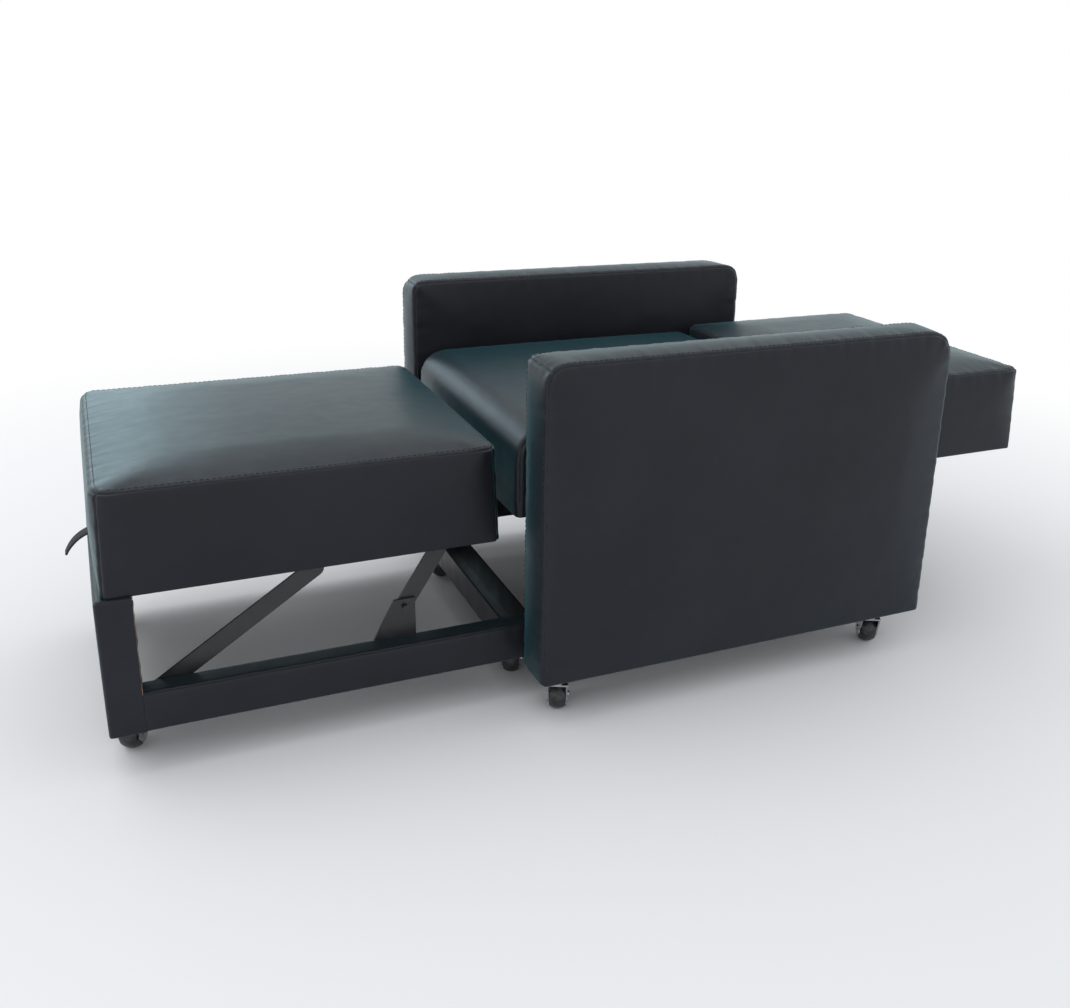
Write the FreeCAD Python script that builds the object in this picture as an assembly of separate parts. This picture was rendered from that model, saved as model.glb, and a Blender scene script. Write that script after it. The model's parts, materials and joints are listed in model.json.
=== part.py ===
# Convertible chair bed, shown pulled out as a bed: +Z is up, the bed's foot points to -Y.
# While it is being built, Y = 0 is the front face of the arms and Z = 0 is the floor.
# The finished pieces are then shifted along Y, so that the origin is the bottom centre.
import FreeCAD
import Part
import math
import os
from FreeCAD import Vector

# Driving sizes, all in millimetres and degrees

# The two arms
ARM_LENGTH = 700.0
ARM_THICK = 84.0
ARM_TOP = 560.0
ARM_FRONT_R = 33.0
ARM_REAR_R = 45.0
ARM_EDGE_R = 11.0
BAY_WIDTH = 560.0
COVER_THICK = 1.6
ARM_FOAM = 9.6
STUD_DEPTH = 40.0
ARM_MID_RAIL = 50.0

# The three cushions
FRONT_LENGTH = 553.0
FRONT_TOP = 415.0
FRONT_THICK = 135.0
BACK_LENGTH = 556.0
BACK_TOP = 437.0
BACK_THICK = 125.0
HEAD_LENGTH = 406.0
HEAD_TOP = 450.0
CROWN = 7.0
PULL_IN = 2.5
CUSHION_EDGE_R = 12.0
WATERFALL_R = 46.0
SECTION_GAP = 26.0
HEAD_GAP = 6.0
BOARD_THICK = 12.0
BOARD_INSET = 6.0

# The rolling trolley
FASCIA_DEPTH = 48.0
FASCIA_OVERHANG = 9.0
FASCIA_R = 6.0
FASCIA_SKIN = 2.0
RAIL_WIDTH = 36.0
RAIL_HEIGHT = 59.0
RAIL_SKIN = 2.5
RAIL_R = 5.0
CROSS_MEMBER_DEPTH = 50.0
CROSS_MEMBER_HEIGHT = 46.0
CROSS_MEMBER_WALL = 3.0
BAR_SIZE = 20.0
STRAP_WIDTH = 26.0
STRAP_THICK = 3.0
STRAP_REACH = 34.0
STRAP_DROP = 34.0

# Flat steel braces, from the foot of the fascia up to the cushion board
FLAT_THICK = 4.0
FLAT_WIDTH = 26.0
BRACE_FOOT_Y = 62.0
BRACE_FOOT_Z = 37.0
BRACE_RUN = 230.0
GUSSET_Y = 372.0
GUSSET_BASE = 64.0
GUSSET_HEIGHT = 60.0
STRUT_RUN = 53.0
BOLT_R = 4.0
BOLT_HEAD_R = 7.0
BOLT_HEAD = 4.0

# The pivot of the middle section and the hinge of the head section
UPRIGHT_WIDTH = 30.0
PIVOT_Y = 55.0
PIVOT_BELOW_TOP = 67.0
PIVOT_R = 5.0
BRACKET_THICK = 3.0
BRACKET_FOOT_Y = 82.0
BRACKET_FOOT = 60.0
HINGE_DROP = 4.0
HINGE_R = 4.0
HINGE_PIN_R = 1.8
HINGE_LEAF = 46.0
HINGE_KNUCKLE = 30.0
HINGE_INSET = 106.0
LEAF_THICK = 3.0
LUG_WIDTH = 40.0
LUG_INSET = 30.0

# What the base carries
LEDGE_WIDTH = 12.0
LEDGE_HEIGHT = 40.0
LEDGE_STEEL = 3.0
LEDGE_MARGIN = 40.0
PANEL_HEIGHT = 210.0
PANEL_BOARD = 18.0
PANEL_PAD = 12.0
PANEL_R = 4.0
ANGLE_LEG = 28.0
ANGLE_HEIGHT = 150.0

# Casters
ARM_CASTER_HEIGHT = 72.0
TROLLEY_CASTER_HEIGHT = 66.0
CASTER_INSET = 42.0
TROLLEY_CASTER_INSET = 68.0
CASTER_PLATE = 40.0
CASTER_PLATE_THICK = 2.5
CASTER_TRAIL = 14.0
CASTER_TURN = 64.0
WHEEL_R = 23.0
WHEEL_WIDTH = 25.0
WHEEL_CROWN = 4.0
WHEEL_HUB_R = 9.0
AXLE_R = 3.0
FORK_THICK = 2.5
FORK_ROOM = 3.5
RACE_R = 13.0
KINGPIN_R = 4.0
SCREW_R = 2.0
SCREW_HEAD_R = 4.0
SCREW_LENGTH = 16.0
SCREW_SPACING = 28.0

# Clearances
SEAT_GAP = 0.3
SIDE_GAP = 1.0
CUSHION_SIDE_GAP = 24.0
FASCIA_SIDE_GAP = 19.0
RUN_FIT = 0.05
BOLT_FIT = 0.2
END_GAP = 6.0
PANEL_GAP = 6.0
OVERSHOOT = 5.0

# Places that follow from the driving sizes
BAY = BAY_WIDTH / 2
ARM_OUT = BAY + ARM_THICK
HALF = BAY - CUSHION_SIDE_GAP
FRONT_REAR_Y = -SECTION_GAP
FRONT_Y = FRONT_REAR_Y - FRONT_LENGTH
FRONT_BOTTOM = FRONT_TOP - FRONT_THICK
FASCIA_TOP = FRONT_BOTTOM - BOARD_THICK
FASCIA_Y = FRONT_Y - FASCIA_OVERHANG
FASCIA_BACK = FASCIA_Y + FASCIA_DEPTH
FASCIA_HALF = BAY - FASCIA_SIDE_GAP
TROLLEY_CASTER_X = FASCIA_HALF - TROLLEY_CASTER_INSET
RAIL_BOTTOM = TROLLEY_CASTER_HEIGHT
RAIL_TOP = RAIL_BOTTOM + RAIL_HEIGHT
RAIL_IN = FASCIA_HALF - RAIL_WIDTH
RAIL_END = PIVOT_Y - UPRIGHT_WIDTH / 2
BACK_BOTTOM = BACK_TOP - BACK_THICK
HEAD_Y = BACK_LENGTH + HEAD_GAP
HEAD_END = HEAD_Y + HEAD_LENGTH
BACK_BOARD_Z = BACK_BOTTOM - BOARD_THICK
PIVOT_Z = BACK_TOP - PIVOT_BELOW_TOP
HINGE_Y = BACK_LENGTH + HEAD_GAP / 2
HINGE_Z = BACK_BOARD_Z - HINGE_DROP
HINGE_X = HALF - HINGE_INSET
UPRIGHT_IN = HALF + SIDE_GAP
UPRIGHT_OUT = UPRIGHT_IN + FLAT_THICK
BRACKET_IN = UPRIGHT_OUT + SIDE_GAP
BRACKET_OUT = BRACKET_IN + BRACKET_THICK
LEDGE_TOP = BACK_BOARD_Z - LEAF_THICK - SEAT_GAP
LEDGE_IN = BAY - LEDGE_WIDTH
TRAVEL = -FASCIA_Y
PANEL_Y = RAIL_END + UPRIGHT_WIDTH + TRAVEL + PANEL_GAP
PANEL_BOTTOM = ARM_CASTER_HEIGHT + SEAT_GAP
PANEL_TOP = PANEL_BOTTOM + PANEL_HEIGHT
FRAME_IN = BAY + COVER_THICK + ARM_FOAM + SEAT_GAP
FRAME_OUT = ARM_OUT - COVER_THICK - ARM_FOAM - SEAT_GAP
FRAME_FRONT = COVER_THICK + ARM_FOAM + SEAT_GAP
FRAME_REAR = ARM_LENGTH - FRAME_FRONT
FRAME_TOP = ARM_TOP - COVER_THICK - ARM_FOAM - SEAT_GAP
BRACE_IN = RAIL_IN - SEAT_GAP - FLAT_THICK
BRACE_OUT = RAIL_IN - SEAT_GAP
BAR_Z = FASCIA_TOP - BAR_SIZE
FLAT_HEAD_Z = FASCIA_TOP - FLAT_WIDTH / 2 - SEAT_GAP
STRAP_Z = FASCIA_TOP + SEAT_GAP
STRAP_TIP_Y = FASCIA_Y - STRAP_REACH
MID_Y = (STRAP_TIP_Y + HEAD_END) / 2

pieces = {}


# Small makers

def box(x0, x1, y0, y1, z0, z1):
    return Part.makeBox(x1 - x0, y1 - y0, z1 - z0, Vector(x0, y0, z0))


def rod(radius, start, end):
    run = end.sub(start)
    return Part.makeCylinder(radius, run.Length, start, run)


def rod_x(radius, x0, x1, y, z):
    return rod(radius, Vector(x0, y, z), Vector(x1, y, z))


def mirrored(shape):
    return shape.mirror(Vector(0, 0, 0), Vector(1, 0, 0))


def both(shape):
    return [shape, mirrored(shape)]


def plate_x(points, x0, x1):
    corners = [Vector(x0, y, z) for y, z in points]
    outline = Part.makePolygon(corners + corners[:1])
    return Part.Face(outline).extrude(Vector(x1 - x0, 0, 0))


def edges_where(shape, test):
    return [edge for edge in shape.Edges if test(edge)]


def along(edge, axis):
    ends = [vertex.Point for vertex in edge.Vertexes]
    if len(ends) < 2:
        return False
    run = ends[1].sub(ends[0])
    return run.Length > 1 and abs(abs(run.dot(axis)) - run.Length) < 1e-3


def rounded(shape, radius, axis, test=lambda point: True):
    chosen = edges_where(shape, lambda e: along(e, axis) and test(e.CenterOfMass))
    return shape.makeFillet(radius, chosen)


def keep(name, *solids):
    placed = []
    for solid in solids:
        moved = solid.copy()
        moved.translate(Vector(0, -MID_Y, 0))
        placed.append(moved)
    pieces[name] = placed[0] if len(placed) == 1 else Part.makeCompound(placed)


# Cushions: a crowned pad whose sides draw in a little between its corners

def pad_profile(x, y0, y1, low, high, crown, front_r, rear_r):
    side = math.sqrt(0.5)
    front = Vector(x, y0 + front_r, high - front_r)
    rear = Vector(x, y1 - rear_r, high - rear_r)
    start = Vector(x, y0, low)
    end = Vector(x, y1, low)
    front_low = Vector(x, y0, high - front_r)
    front_high = Vector(x, y0 + front_r, high)
    rear_high = Vector(x, y1 - rear_r, high)
    rear_low = Vector(x, y1, high - rear_r)
    front_mid = front.add(Vector(0, -front_r * side, front_r * side))
    rear_mid = rear.add(Vector(0, rear_r * side, rear_r * side))
    crest = Vector(x, (front_high.y + rear_high.y) / 2, high + crown)
    return Part.Wire([
        Part.makeLine(start, front_low),
        Part.Arc(front_low, front_mid, front_high).toShape(),
        Part.Arc(front_high, crest, rear_high).toShape(),
        Part.Arc(rear_high, rear_mid, rear_low).toShape(),
        Part.makeLine(rear_low, end),
        Part.makeLine(end, start),
    ])


def plan_prism(y0, y1, half, low, high):
    front = y0 - OVERSHOOT
    rear = y1 + OVERSHOOT
    middle = (y0 + y1) / 2
    corners = [(half, front), (half, rear), (-half, rear), (-half, front)]
    a, b, c, d = [Vector(x, y, low) for x, y in corners]
    outline = Part.Wire([
        Part.Arc(a, Vector(half - PULL_IN, middle, low), b).toShape(),
        Part.makeLine(b, c),
        Part.Arc(c, Vector(PULL_IN - half, middle, low), d).toShape(),
        Part.makeLine(d, a),
    ])
    return Part.Face(outline).extrude(Vector(0, 0, high - low))


def pad_form(y0, y1, low, high, front_r, skin=0.0, floor=0.0):
    front = y0 + skin
    rear = y1 - skin
    half = HALF - skin
    top = high - skin
    rear_r = CUSHION_EDGE_R - skin
    nose_r = front_r - skin
    wide = half + OVERSHOOT
    stations = [(-wide, 1.0), (0.0, CROWN), (wide, 1.0)]
    profiles = [
        pad_profile(x, front, rear, low + floor, top, crown, nose_r, rear_r)
        for x, crown in stations
    ]
    body = Part.makeLoft(profiles, True, False)
    body = body.common(plan_prism(front, rear, half, low + floor - 1, top + CROWN + 1))
    limit = half - PULL_IN - 1

    def at_side(edge):
        ends = [vertex.Point for vertex in edge.Vertexes]
        outside = all(abs(point.x) > limit for point in ends)
        same_side = ends[0].x * ends[-1].x > 0
        return outside and same_side and edge.CenterOfMass.z > low + floor + 1

    rim = edges_where(body, at_side)
    return body.makeFillet(CUSHION_EDGE_R - skin, rim).Solids[0]


def cushion(name, y0, y1, low, high, front_r):
    outside = pad_form(y0, y1, low, high, front_r)
    hollow = pad_form(y0, y1, low, high, front_r, COVER_THICK, -1.0)
    foam = pad_form(y0, y1, low, high, front_r, COVER_THICK + SEAT_GAP, SEAT_GAP)
    keep(name + "_cover", outside.cut(hollow).Solids[0])
    keep(name + "_foam", foam)
    width = HALF - BOARD_INSET
    board = box(-width, width, y0 + BOARD_INSET, y1 - BOARD_INSET, low - BOARD_THICK, low)
    return board


# Casters: a plate with its kingpin, a forked hood with its axle, and a wheel

def caster_hood(height):
    crown_low = 2 * WHEEL_R + FORK_ROOM
    crown_high = crown_low + FORK_THICK
    race_top = height - CASTER_PLATE_THICK - SEAT_GAP
    half = WHEEL_WIDTH / 2 + SIDE_GAP
    cheek_r = WHEEL_R * 0.62
    rear = CASTER_TRAIL + WHEEL_R * 0.75
    solid = box(-half - FORK_THICK, half + FORK_THICK, -RACE_R, rear, crown_low, crown_high)
    for side in (-1, 1):
        x0 = min(side * half, side * (half + FORK_THICK))
        x1 = x0 + FORK_THICK
        cheek = rod_x(cheek_r, x0, x1, CASTER_TRAIL, WHEEL_R)
        web = plate_x([
            (CASTER_TRAIL - cheek_r, WHEEL_R),
            (CASTER_TRAIL + cheek_r, WHEEL_R),
            (rear, crown_high),
            (-RACE_R, crown_high),
        ], x0, x1)
        solid = solid.fuse(cheek).fuse(web)
    race = Part.makeCylinder(RACE_R, race_top - crown_high, Vector(0, 0, crown_high))
    solid = solid.fuse(race).removeSplitter()
    bore = Part.makeCylinder(KINGPIN_R + RUN_FIT, height, Vector(0, 0, crown_low - 1))
    pin_hole = rod_x(AXLE_R, -2 * half, 2 * half, CASTER_TRAIL, WHEEL_R)
    solid = solid.cut(bore).cut(pin_hole)
    axle = rod_x(AXLE_R, -half - FORK_THICK, half + FORK_THICK, CASTER_TRAIL, WHEEL_R)
    head = rod_x(AXLE_R + 1.5, half + FORK_THICK, half + FORK_THICK + 1.5, CASTER_TRAIL, WHEEL_R)
    return [solid, axle.fuse(head).fuse(mirrored(head)).removeSplitter()]


def caster_wheel():
    half = WHEEL_WIDTH / 2
    shoulder = WHEEL_R - WHEEL_CROWN
    inside = half * 0.55
    dish = WHEEL_HUB_R + 1.5
    rim = shoulder - 4.0
    bore = AXLE_R + RUN_FIT
    points = [
        Vector(-half, 0, bore),
        Vector(-half, 0, WHEEL_HUB_R),
        Vector(-inside, 0, dish),
        Vector(-inside, 0, rim - 1.5),
        Vector(-half, 0, rim),
        Vector(-half, 0, shoulder),
    ]
    other = [Vector(-p.x, 0, p.z) for p in reversed(points)]
    left = points[-1]
    right = other[0]
    lines = [Part.makeLine(a, b) for a, b in zip(points, points[1:])]
    lines.append(Part.Arc(left, Vector(0, 0, WHEEL_R), right).toShape())
    lines += [Part.makeLine(a, b) for a, b in zip(other, other[1:])]
    lines.append(Part.makeLine(other[-1], points[0]))
    wheel = Part.Face(Part.Wire(lines)).revolve(Vector(0, 0, 0), Vector(1, 0, 0), 360)
    wheel.translate(Vector(0, CASTER_TRAIL, WHEEL_R))
    return wheel


def caster_plate(height):
    half = CASTER_PLATE / 2
    low = height - CASTER_PLATE_THICK
    neck = 2 * WHEEL_R + FORK_ROOM - SEAT_GAP
    plate = rounded(box(-half, half, -half, half, low, height), 4.0, Vector(0, 0, 1))
    pin = Part.makeCylinder(KINGPIN_R, low - neck + 0.5, Vector(0, 0, neck))
    rivet = Part.makeCone(KINGPIN_R, KINGPIN_R + 2, 2, Vector(0, 0, neck - 2))
    plate = plate.fuse(pin).fuse(rivet).removeSplitter()
    for x, y in screw_places():
        plate = plate.cut(Part.makeCylinder(SCREW_R + BOLT_FIT, height, Vector(x, y, 0)))
    return plate


def screw_places():
    half = SCREW_SPACING / 2
    return [(x, y) for x in (-half, half) for y in (-half, half)]


def caster_screws(height):
    under = height - CASTER_PLATE_THICK - SEAT_GAP
    screws = []
    for x, y in screw_places():
        shank = Part.makeCylinder(SCREW_R, SCREW_LENGTH, Vector(x, y, under))
        head = Part.makeCone(SCREW_R, SCREW_HEAD_R, 2, Vector(x, y, under - 2))
        screws.append(shank.fuse(head).removeSplitter())
    return screws


def screw_holes(places, height):
    holes = []
    for centre_x, centre_y in places:
        for x, y in screw_places():
            spot = Vector(centre_x + x, centre_y + y, height - 1)
            holes.append(Part.makeCylinder(SCREW_R + BOLT_FIT, SCREW_LENGTH + 2, spot))
    return Part.makeCompound(holes)


def arm_caster_places():
    front = CASTER_INSET
    rear = ARM_LENGTH - CASTER_INSET - 2 * CASTER_TRAIL
    across = BAY + ARM_THICK / 2
    return {
        "front_left": (-across, front),
        "front_right": (across, front),
        "rear_left": (-across, rear),
        "rear_right": (across, rear),
    }


def trolley_caster_places():
    front = FASCIA_Y + FASCIA_DEPTH / 2
    rear = RAIL_END - CROSS_MEMBER_DEPTH / 2
    return {
        "foot_left": (-TROLLEY_CASTER_X, front),
        "foot_right": (TROLLEY_CASTER_X, front),
        "inner_left": (-TROLLEY_CASTER_X, rear),
        "inner_right": (TROLLEY_CASTER_X, rear),
    }


def swivelled(shape):
    return shape.rotated(Vector(0, 0, 0), Vector(0, 0, 1), CASTER_TURN)


def make_casters(prefix, places, height):
    plates = []
    screws = []
    for name, (x, y) in places.items():
        spot = Vector(x, y, 0)
        hood = [swivelled(solid).translated(spot) for solid in caster_hood(height)]
        keep(f"{prefix}_caster_hood_{name}", *hood)
        keep(f"{prefix}_caster_wheel_{name}", swivelled(caster_wheel()).translated(spot))
        plates.append(caster_plate(height).translated(spot))
        screws += [screw.translated(spot) for screw in caster_screws(height)]
    keep(f"{prefix}_caster_plates", *plates)
    keep(f"{prefix}_caster_screws", *screws)


# Arms: timber frame, foam wrap and fitted cover

def round_top(shape, inset):
    high = shape.BoundBox.ZMax - 1
    middle = ARM_LENGTH / 2
    across = Vector(1, 0, 0)
    shape = rounded(shape, ARM_FRONT_R - inset, across, lambda p: p.z > high and p.y < middle)
    return rounded(shape, ARM_REAR_R - inset, across, lambda p: p.z > high and p.y > middle)


def arm_block(skin, low):
    x0 = BAY + skin
    x1 = ARM_OUT - skin
    block = box(x0, x1, skin, ARM_LENGTH - skin, low, ARM_TOP - skin)
    block = round_top(block, skin)

    def on_face(edge):
        ends = [vertex.Point for vertex in edge.Vertexes]
        at_x0 = all(abs(point.x - x0) < 1e-3 for point in ends)
        at_x1 = all(abs(point.x - x1) < 1e-3 for point in ends)
        return (at_x0 or at_x1) and edge.CenterOfMass.z > low + 1

    return block.makeFillet(ARM_EDGE_R - skin, edges_where(block, on_face))


def arm_frame_solids():
    low = ARM_CASTER_HEIGHT
    bottom_rail = box(FRAME_IN, FRAME_OUT, FRAME_FRONT, FRAME_REAR, low, low + STUD_DEPTH)
    top_rail = box(FRAME_IN, FRAME_OUT, FRAME_FRONT, FRAME_REAR, FRAME_TOP - STUD_DEPTH, FRAME_TOP)
    top_rail = round_top(top_rail, FRAME_FRONT)
    middle = (FRAME_FRONT + FRAME_REAR - STUD_DEPTH) / 2
    solids = [bottom_rail, top_rail]
    starts = [FRAME_FRONT, middle, FRAME_REAR - STUD_DEPTH]
    for y in starts:
        stud = box(FRAME_IN, FRAME_OUT, y, y + STUD_DEPTH, low + STUD_DEPTH, FRAME_TOP - STUD_DEPTH)
        solids.append(stud)
    for y0, y1 in zip(starts, starts[1:]):
        rail = box(FRAME_IN, FRAME_OUT, y0 + STUD_DEPTH, y1,
                   LEDGE_TOP - ARM_MID_RAIL, LEDGE_TOP)
        solids.append(rail)
    return solids


def ledge_screw_places():
    count = 4
    start = LEDGE_MARGIN * 2
    end = PANEL_Y - LEDGE_MARGIN * 2
    z = LEDGE_TOP - LEDGE_HEIGHT / 2
    return [(start + (end - start) * n / (count - 1), z) for n in range(count)]


def angle_screw_places():
    y = PANEL_Y - ANGLE_LEG / 2 - LEDGE_STEEL
    low = PANEL_BOTTOM + 20.0
    return [(y, low), (y, low + ANGLE_HEIGHT - 40.0)]


def side_screw(y, z):
    inside = BAY - LEDGE_STEEL - SEAT_GAP
    shank = rod_x(SCREW_R, inside, inside + SCREW_LENGTH + ARM_FOAM + 2, y, z)
    head = Part.makeCone(SCREW_HEAD_R, SCREW_R, 2, Vector(inside - 2, y, z), Vector(1, 0, 0))
    return shank.fuse(head).removeSplitter()


def side_holes():
    far = BAY + ARM_THICK / 2
    near = BAY - LEDGE_STEEL - 1
    places = ledge_screw_places() + angle_screw_places()
    return Part.makeCompound([rod_x(SCREW_R + BOLT_FIT, near, far, y, z) for y, z in places])


def make_arms():
    low = ARM_CASTER_HEIGHT
    holes = side_holes()
    under = [place for place in arm_caster_places().values() if place[0] > 0]
    caster_holes = screw_holes(under, low)
    outside = arm_block(0.0, low)
    hollow = arm_block(COVER_THICK, low - 1)
    cover = outside.cut(hollow).cut(holes)
    room = box(FRAME_IN - SEAT_GAP, FRAME_OUT + SEAT_GAP, FRAME_FRONT - SEAT_GAP,
               FRAME_REAR + SEAT_GAP, low - 1, FRAME_TOP + SEAT_GAP)
    room = round_top(room, FRAME_FRONT - SEAT_GAP)
    foam = arm_block(COVER_THICK + SEAT_GAP, low + SEAT_GAP).cut(room).cut(holes)
    frame = [solid.cut(holes).cut(caster_holes) for solid in arm_frame_solids()]
    keep("arm_cover_right", cover)
    keep("arm_cover_left", mirrored(cover))
    keep("arm_foam_right", foam)
    keep("arm_foam_left", mirrored(foam))
    keep("arm_frame_right", *frame)
    keep("arm_frame_left", *[mirrored(solid) for solid in frame])


# Base: ledges under the mattress lugs, and the panel that ties the arms at the rear

def make_base():
    holes = side_holes()
    top = LEDGE_TOP
    flange = box(LEDGE_IN, BAY, LEDGE_MARGIN, PANEL_Y - LEDGE_MARGIN, top - LEDGE_STEEL, top)
    web = box(BAY - LEDGE_STEEL, BAY, LEDGE_MARGIN, PANEL_Y - LEDGE_MARGIN, top - LEDGE_HEIGHT, top)
    ledge = flange.fuse(web).removeSplitter().cut(holes)
    keep("seat_ledges", *both(ledge))

    width = BAY - SEAT_GAP
    rear = PANEL_Y + PANEL_BOARD
    board = box(-width, width, PANEL_Y, rear, PANEL_BOTTOM, PANEL_TOP)
    pad = box(-width, width, rear, rear + PANEL_PAD, PANEL_BOTTOM, PANEL_TOP)
    back = rear + PANEL_PAD - 1
    pad = rounded(pad, PANEL_R, Vector(1, 0, 0), lambda p: p.y > back)
    keep("rear_panel_board", board)
    keep("rear_panel_cover", pad)

    low = PANEL_BOTTOM
    high = low + ANGLE_HEIGHT
    side_leg = box(BAY - LEDGE_STEEL, BAY, PANEL_Y - ANGLE_LEG, PANEL_Y, low, high)
    panel_leg = box(BAY - ANGLE_LEG, BAY, PANEL_Y - LEDGE_STEEL, PANEL_Y, low, high)
    angle = side_leg.fuse(panel_leg).removeSplitter().cut(holes)
    keep("rear_angles", *both(angle))

    screws = [side_screw(y, z) for y, z in ledge_screw_places() + angle_screw_places()]
    keep("arm_side_screws", *screws, *[mirrored(screw) for screw in screws])


# Trolley: fascia, side rails, cross member and the steel under the front cushion

def brace_foot():
    return FASCIA_Y + BRACE_FOOT_Y, RAIL_BOTTOM + BRACE_FOOT_Z


def brace_head():
    return brace_foot()[0] + BRACE_RUN, FLAT_HEAD_Z


def strut_foot():
    return FASCIA_Y + GUSSET_Y + GUSSET_BASE * 0.75, RAIL_TOP + GUSSET_HEIGHT * 0.8


def strut_head():
    return strut_foot()[0] + STRUT_RUN, FLAT_HEAD_Z


def flat_bar(start, end, x0, x1):
    ends = [rod_x(FLAT_WIDTH / 2, x0, x1, *start), rod_x(FLAT_WIDTH / 2, x0, x1, *end)]
    run_y = end[0] - start[0]
    run_z = end[1] - start[1]
    length = math.hypot(run_y, run_z)
    off_y = -run_z / length * FLAT_WIDTH / 2
    off_z = run_y / length * FLAT_WIDTH / 2
    web = plate_x([
        (start[0] + off_y, start[1] + off_z),
        (end[0] + off_y, end[1] + off_z),
        (end[0] - off_y, end[1] - off_z),
        (start[0] - off_y, start[1] - off_z),
    ], x0, x1)
    bar = web.fuse(ends[0]).fuse(ends[1]).removeSplitter()
    for y, z in (start, end):
        bar = bar.cut(rod_x(BOLT_R + BOLT_FIT, x0 - 1, x1 + 1, y, z))
    return bar


def bolt(y, z, head_x, tip_x):
    way = 1 if tip_x > head_x else -1
    shank = rod_x(BOLT_R, head_x, tip_x, y, z)
    corners = []
    for n in range(6):
        turn = math.radians(60 * n)
        corners.append((y + BOLT_HEAD_R * math.cos(turn), z + BOLT_HEAD_R * math.sin(turn)))
    head = plate_x(corners, head_x - way * BOLT_HEAD, head_x)
    return shank.fuse(head).removeSplitter()


def make_braces():
    brace = flat_bar(brace_foot(), brace_head(), BRACE_IN, BRACE_OUT)
    keep("diagonal_braces", *both(brace))
    strut = flat_bar(strut_foot(), strut_head(), BRACE_IN, BRACE_OUT)
    keep("rear_struts", *both(strut))

    base_y = FASCIA_Y + GUSSET_Y
    foot_y, foot_z = strut_foot()
    peak = RAIL_TOP + GUSSET_HEIGHT
    gusset = plate_x([
        (base_y, RAIL_TOP),
        (base_y + GUSSET_BASE, RAIL_TOP),
        (base_y + GUSSET_BASE, peak),
        (base_y + GUSSET_BASE / 2, peak),
    ], RAIL_IN, RAIL_IN + FLAT_THICK)
    gusset = gusset.cut(rod_x(BOLT_R + BOLT_FIT, 0, BAY, foot_y, foot_z))
    keep("gusset_plates", *both(gusset))

    bar_end = BRACE_IN - SEAT_GAP
    bars = []
    for y, z in (brace_head(), strut_head()):
        half = BAR_SIZE / 2
        bar = box(-bar_end, bar_end, y - half, y + half, BAR_Z, FASCIA_TOP)
        hole = rod_x(BOLT_R + BOLT_FIT, bar_end - 16, bar_end + 1, y, z)
        bars.append(bar.cut(hole).cut(mirrored(hole)))
    keep("cross_bars", *bars)

    inner_head = BRACE_IN - SEAT_GAP
    outer_head = BRACE_OUT + SEAT_GAP
    bolts = [
        bolt(*brace_foot(), inner_head, RAIL_IN + 12),
        bolt(*strut_foot(), inner_head, RAIL_IN + FLAT_THICK + 6),
        bolt(*brace_head(), outer_head, bar_end - 14),
        bolt(*strut_head(), outer_head, bar_end - 14),
    ]
    keep("brace_bolts", *bolts, *[mirrored(one) for one in bolts])


def make_trolley_frame():
    places = list(trolley_caster_places().values())
    caster_holes = screw_holes(places, TROLLEY_CASTER_HEIGHT)
    low = RAIL_BOTTOM

    outside = box(-FASCIA_HALF, FASCIA_HALF, FASCIA_Y, FASCIA_BACK, low, FASCIA_TOP)
    outside = rounded(outside, FASCIA_R, Vector(0, 0, 1), lambda p: p.y < FASCIA_Y + 1)
    outside = rounded(outside, FASCIA_R, Vector(1, 0, 0), lambda p: p.y < FASCIA_Y + 1)
    skin = FASCIA_SKIN
    core_y = FASCIA_Y + skin
    core_x = FASCIA_HALF - skin
    hollow = box(-core_x, core_x, core_y, FASCIA_BACK + 1, low + skin, FASCIA_TOP - skin)
    access = box(-core_x, core_x, core_y + 2, FASCIA_BACK - 4, low - 1, low + skin + 1)
    fit = SEAT_GAP
    core = box(-core_x + fit, core_x - fit, core_y + fit, FASCIA_BACK,
               low + skin + fit, FASCIA_TOP - skin - fit)
    foot = box(-core_x + fit, core_x - fit, core_y + 2 + fit, FASCIA_BACK - 4 - fit,
               low, low + skin + fit)
    core = core.fuse(foot).removeSplitter()
    keep("fascia_cover", outside.cut(hollow).cut(access))
    keep("fascia_board", core.cut(caster_holes))

    rail_y0 = FASCIA_BACK + SEAT_GAP
    rail_end = RAIL_END
    tube = box(RAIL_IN, FASCIA_HALF, rail_y0, rail_end, low, RAIL_TOP)
    tube = rounded(tube, RAIL_R, Vector(0, 1, 0))
    wall = RAIL_SKIN
    bore = box(RAIL_IN + wall, FASCIA_HALF - wall, rail_y0 - 1, rail_end + 1,
               low + wall, RAIL_TOP - wall)
    inner = wall + SEAT_GAP
    core = box(RAIL_IN + inner, FASCIA_HALF - inner, rail_y0, rail_end,
               low + inner, RAIL_TOP - inner)
    foot_y, foot_z = brace_foot()
    hole = rod_x(BOLT_R + BOLT_FIT, RAIL_IN - 1, RAIL_IN + 14, foot_y, foot_z)
    sleeve = tube.cut(bore).cut(hole)
    keep("rail_covers", *both(sleeve))
    keep("rail_cores", *both(core.cut(hole)))

    member_x = RAIL_IN - SEAT_GAP
    y0 = rail_end - CROSS_MEMBER_DEPTH
    high = low + CROSS_MEMBER_HEIGHT
    member = box(-member_x, member_x, y0, rail_end, low, high)
    wall = CROSS_MEMBER_WALL
    trough = box(-member_x - 1, member_x + 1, y0 + wall, rail_end - wall, low + wall, high + 1)
    member = member.cut(trough).cut(caster_holes)
    keep("rear_cross_member", member)


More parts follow.
